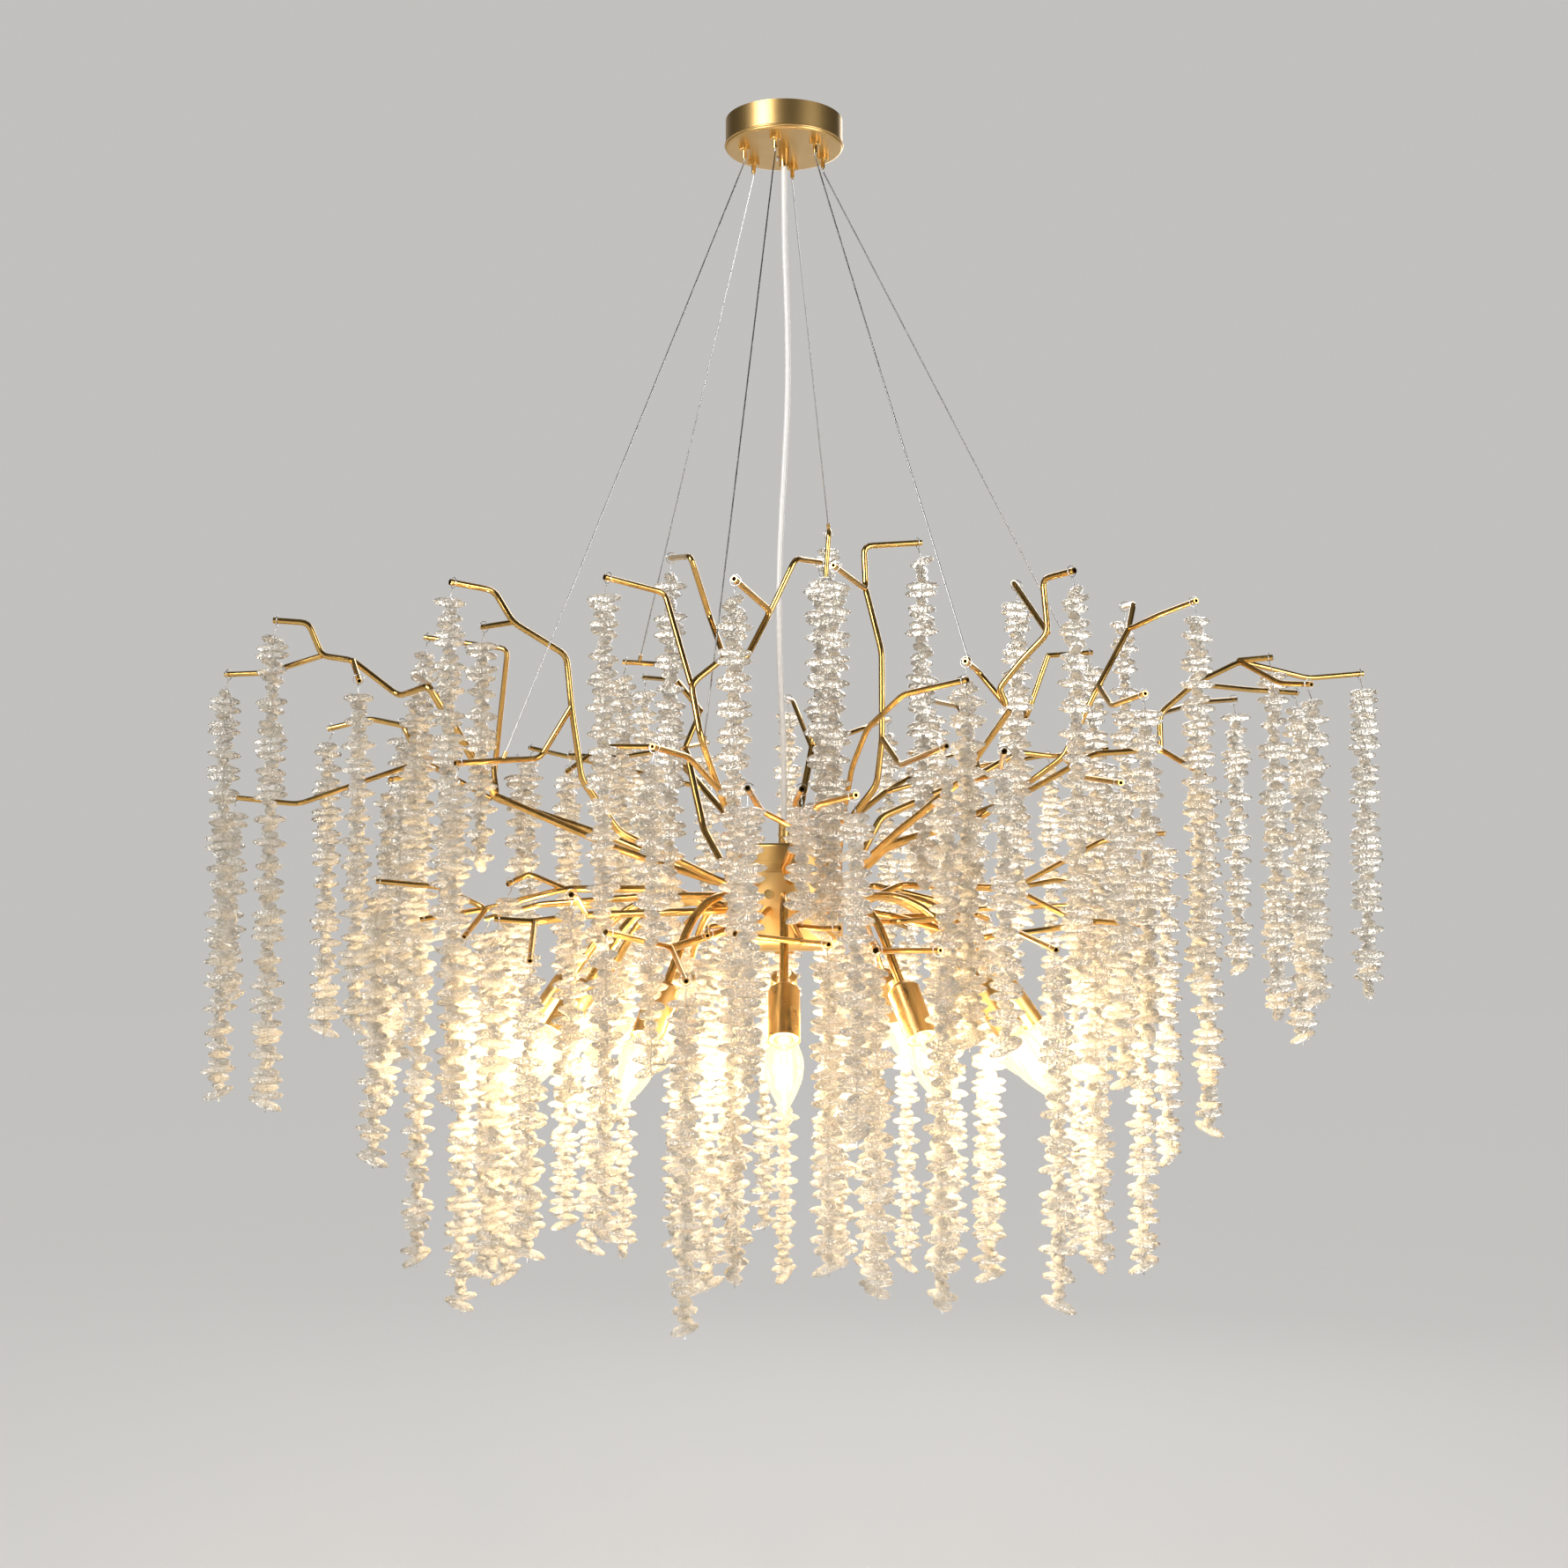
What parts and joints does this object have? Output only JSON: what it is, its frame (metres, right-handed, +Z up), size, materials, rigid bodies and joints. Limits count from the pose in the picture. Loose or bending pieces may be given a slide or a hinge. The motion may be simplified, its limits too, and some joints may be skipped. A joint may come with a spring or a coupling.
{
  "type": "crystal chandelier",
  "caption": "Round ceiling canopy with steel wires and a power cable, holding a brass hub with kinked branch tubes, hanging crystal strands and bulbs that point down and outward.",
  "frame": {"origin": "middle of the ceiling bracket's screw circle, on the ceiling plane", "axes": "+Z up into the ceiling, -Y towards the side that the picture shows, +X to the right of someone who faces that side"},
  "size_m": [1.1921, 0.8516, 1.22],
  "materials": {
    "brass": "satin brushed",
    "steel": "bright",
    "crystal": "clear faceted",
    "bulb_glass": "clear",
    "cable_sheath": "smooth sheath",
    "terminal_plastic": "moulded",
    "holder_plastic": "moulded"
  },
  "bodies": {
    "root": {"branches_left": "brass", "branches_low": "brass", "branches_right": "brass", "cable_tails": "cable_sheath", "canopy_cup": "brass", "canopy_leads": "cable_sheath", "canopy_set_screws": "steel", "ceiling_bracket": "steel", "cord_grip": "brass", "cord_grip_nut": "brass", "cord_grip_screw": "steel", "gripper_collars": "brass", "gripper_nipples": "brass", "gripper_nuts": "brass", "hub_bowl": "brass", "hub_cable_nipple": "brass", "hub_crossbar": "steel", "hub_ring": "brass", "hub_rod": "steel", "hub_rod_nut": "brass", "hub_screws": "brass", "hub_top_cover": "brass", "lamp_arms": "brass", "lamp_sleeves": "brass", "lampholders": "holder_plastic", "power_cable": "cable_sheath", "suspension_wires": "steel", "terminal_blocks": "terminal_plastic", "wire_feet": "brass", "wire_stops": "steel"},
    "bulb_01": {"bulb_01": "bulb_glass"},
    "bulb_02": {"bulb_02": "bulb_glass"},
    "bulb_03": {"bulb_03": "bulb_glass"},
    "bulb_04": {"bulb_04": "bulb_glass"},
    "bulb_05": {"bulb_05": "bulb_glass"},
    "bulb_06": {"bulb_06": "bulb_glass"},
    "bulb_07": {"bulb_07": "bulb_glass"},
    "bulb_08": {"bulb_08": "bulb_glass"},
    "bulb_09": {"bulb_09": "bulb_glass"},
    "bulb_10": {"bulb_10": "bulb_glass"},
    "bulb_11": {"bulb_11": "bulb_glass"},
    "bulb_12": {"bulb_12": "bulb_glass"},
    "strands_back_centre": {"strands_back_centre": "crystal"},
    "strands_back_left": {"strands_back_left": "crystal"},
    "strands_centre_right": {"strands_centre_right": "crystal"},
    "strands_front_centre": {"strands_front_centre": "crystal"},
    "strands_front_left": {"strands_front_left": "crystal"},
    "strands_low_back": {"strands_low_back": "crystal"},
    "strands_low_front_left": {"strands_low_front_left": "crystal"},
    "strands_low_front_right": {"strands_low_front_right": "crystal"},
    "strands_low_left_back": {"strands_low_left_back": "crystal"},
    "strands_low_left_front": {"strands_low_left_front": "crystal"},
    "strands_low_right": {"strands_low_right": "crystal"},
    "strands_outer_left": {"strands_outer_left": "crystal"},
    "strands_outer_left_back": {"strands_outer_left_back": "crystal"},
    "strands_outer_right": {"strands_outer_right": "crystal"},
    "strands_right_back": {"strands_right_back": "crystal"},
    "strands_right_front": {"strands_right_front": "crystal"},
    "strands_upper_left": {"strands_upper_left": "crystal"},
    "strands_upper_right": {"strands_upper_right": "crystal"}
  },
  "joints": [
    {"name": "bulb_01_thread", "type": "hinge", "parent": "root", "child": "bulb_01", "pos_m": [0.24597, 0, -0.92423], "axis": [0.5736, 0, -0.8192], "range_deg": [0, 1800]},
    {"name": "bulb_02_thread", "type": "hinge", "parent": "root", "child": "bulb_02", "pos_m": [0.21302, 0.12299, -0.92423], "axis": [0.4967, 0.2868, -0.8192], "range_deg": [0, 1800]},
    {"name": "bulb_03_thread", "type": "hinge", "parent": "root", "child": "bulb_03", "pos_m": [0.12299, 0.21302, -0.92423], "axis": [0.2868, 0.4967, -0.8192], "range_deg": [0, 1800]},
    {"name": "bulb_04_thread", "type": "hinge", "parent": "root", "child": "bulb_04", "pos_m": [0, 0.24597, -0.92423], "axis": [0, 0.5736, -0.8192], "range_deg": [0, 1800]},
    {"name": "bulb_05_thread", "type": "hinge", "parent": "root", "child": "bulb_05", "pos_m": [-0.12299, 0.21302, -0.92423], "axis": [-0.2868, 0.4967, -0.8192], "range_deg": [0, 1800]},
    {"name": "bulb_06_thread", "type": "hinge", "parent": "root", "child": "bulb_06", "pos_m": [-0.21302, 0.12299, -0.92423], "axis": [-0.4967, 0.2868, -0.8192], "range_deg": [0, 1800]},
    {"name": "bulb_07_thread", "type": "hinge", "parent": "root", "child": "bulb_07", "pos_m": [-0.24597, 0, -0.92423], "axis": [-0.5736, 0, -0.8192], "range_deg": [0, 1800]},
    {"name": "bulb_08_thread", "type": "hinge", "parent": "root", "child": "bulb_08", "pos_m": [-0.21302, -0.12299, -0.92423], "axis": [-0.4967, -0.2868, -0.8192], "range_deg": [0, 1800]},
    {"name": "bulb_09_thread", "type": "hinge", "parent": "root", "child": "bulb_09", "pos_m": [-0.12299, -0.21302, -0.92423], "axis": [-0.2868, -0.4967, -0.8192], "range_deg": [0, 1800]},
    {"name": "bulb_10_thread", "type": "hinge", "parent": "root", "child": "bulb_10", "pos_m": [0, -0.24597, -0.92423], "axis": [0, -0.5736, -0.8192], "range_deg": [0, 1800]},
    {"name": "bulb_11_thread", "type": "hinge", "parent": "root", "child": "bulb_11", "pos_m": [0.12299, -0.21302, -0.92423], "axis": [0.2868, -0.4967, -0.8192], "range_deg": [0, 1800]},
    {"name": "bulb_12_thread", "type": "hinge", "parent": "root", "child": "bulb_12", "pos_m": [0.21302, -0.12299, -0.92423], "axis": [0.4967, -0.2868, -0.8192], "range_deg": [0, 1800]},
    {"name": "strands_back_centre_swing", "type": "hinge", "parent": "root", "child": "strands_back_centre", "pos_m": [0.063, 0.2812, -0.4864], "axis": [-0.866, 0.5, 0], "range_deg": [-1.4, 1.4]},
    {"name": "strands_back_left_swing", "type": "hinge", "parent": "root", "child": "strands_back_left", "pos_m": [-0.1958, 0.2656, -0.6021], "axis": [0.7071, 0.7071, 0], "range_deg": [-0.8, 0.8]},
    {"name": "strands_centre_right_swing", "type": "hinge", "parent": "root", "child": "strands_centre_right", "pos_m": [0.1042, -0.1645, -0.5582], "axis": [-0.2588, 0.9659, 0], "range_deg": [-0.8, 0.3]},
    {"name": "strands_front_centre_swing", "type": "hinge", "parent": "root", "child": "strands_front_centre", "pos_m": [0.0143, -0.3513, -0.7125], "axis": [0.2588, 0.9659, 0], "range_deg": [-1.9, 1.9]},
    {"name": "strands_front_left_swing", "type": "hinge", "parent": "root", "child": "strands_front_left", "pos_m": [-0.0635, -0.1976, -0.5706], "axis": [-0.9659, 0.2588, 0], "range_deg": [-0.8, 0.3]},
    {"name": "strands_low_back_swing", "type": "hinge", "parent": "root", "child": "strands_low_back", "pos_m": [0.034, 0.2413, -0.8146], "axis": [-0.866, 0.5, 0], "range_deg": [-1, 1]},
    {"name": "strands_low_front_left_swing", "type": "hinge", "parent": "root", "child": "strands_low_front_left", "pos_m": [-0.0516, -0.2693, -0.8482], "axis": [1, 0, 0], "range_deg": [-1.2, 1.2]},
    {"name": "strands_low_front_right_swing", "type": "hinge", "parent": "root", "child": "strands_low_front_right", "pos_m": [0.1814, -0.1937, -0.8317], "axis": [0.866, 0.5, 0], "range_deg": [-0.8, 0.7]},
    {"name": "strands_low_left_back_swing", "type": "hinge", "parent": "root", "child": "strands_low_left_back", "pos_m": [-0.2047, 0.1796, -0.8148], "axis": [0.5, 0.866, 0], "range_deg": [-0.9, 0.9]},
    {"name": "strands_low_left_front_swing", "type": "hinge", "parent": "root", "child": "strands_low_left_front", "pos_m": [-0.2922, -0.1568, -0.818], "axis": [-0.5, 0.866, 0], "range_deg": [-1.2, 1.2]},
    {"name": "strands_low_right_swing", "type": "hinge", "parent": "root", "child": "strands_low_right", "pos_m": [0.2762, 0.0863, -0.779], "axis": [-0.7071, 0.7071, 0], "range_deg": [-1, 1]},
    {"name": "strands_outer_left_swing", "type": "hinge", "parent": "root", "child": "strands_outer_left", "pos_m": [-0.412, -0.0374, -0.5931], "axis": [0.9659, 0.2588, 0], "range_deg": [-1.2, 0.1]},
    {"name": "strands_outer_left_back_swing", "type": "hinge", "parent": "root", "child": "strands_outer_left_back", "pos_m": [-0.4687, 0.1032, -0.6109], "axis": [0, 1, 0], "range_deg": [-1, 1]},
    {"name": "strands_outer_right_swing", "type": "hinge", "parent": "root", "child": "strands_outer_right", "pos_m": [0.4951, 0.0205, -0.6191], "axis": [0, 1, 0], "range_deg": [-1, 0.9]},
    {"name": "strands_right_back_swing", "type": "hinge", "parent": "root", "child": "strands_right_back", "pos_m": [0.2519, 0.2664, -0.5876], "axis": [-0.7071, 0.7071, 0], "range_deg": [-0.9, 0.5]},
    {"name": "strands_right_front_swing", "type": "hinge", "parent": "root", "child": "strands_right_front", "pos_m": [0.2151, -0.1766, -0.5834], "axis": [0.7071, 0.7071, 0], "range_deg": [-0.8, 0.8]},
    {"name": "strands_upper_left_swing", "type": "hinge", "parent": "root", "child": "strands_upper_left", "pos_m": [-0.3029, -0.1224, -0.5875], "axis": [0, 1, 0], "range_deg": [-1.2, 1.3]},
    {"name": "strands_upper_right_swing", "type": "hinge", "parent": "root", "child": "strands_upper_right", "pos_m": [0.3498, -0.0697, -0.5948], "axis": [0.2588, 0.9659, 0], "range_deg": [-0.9, 0.6]}
  ]
}
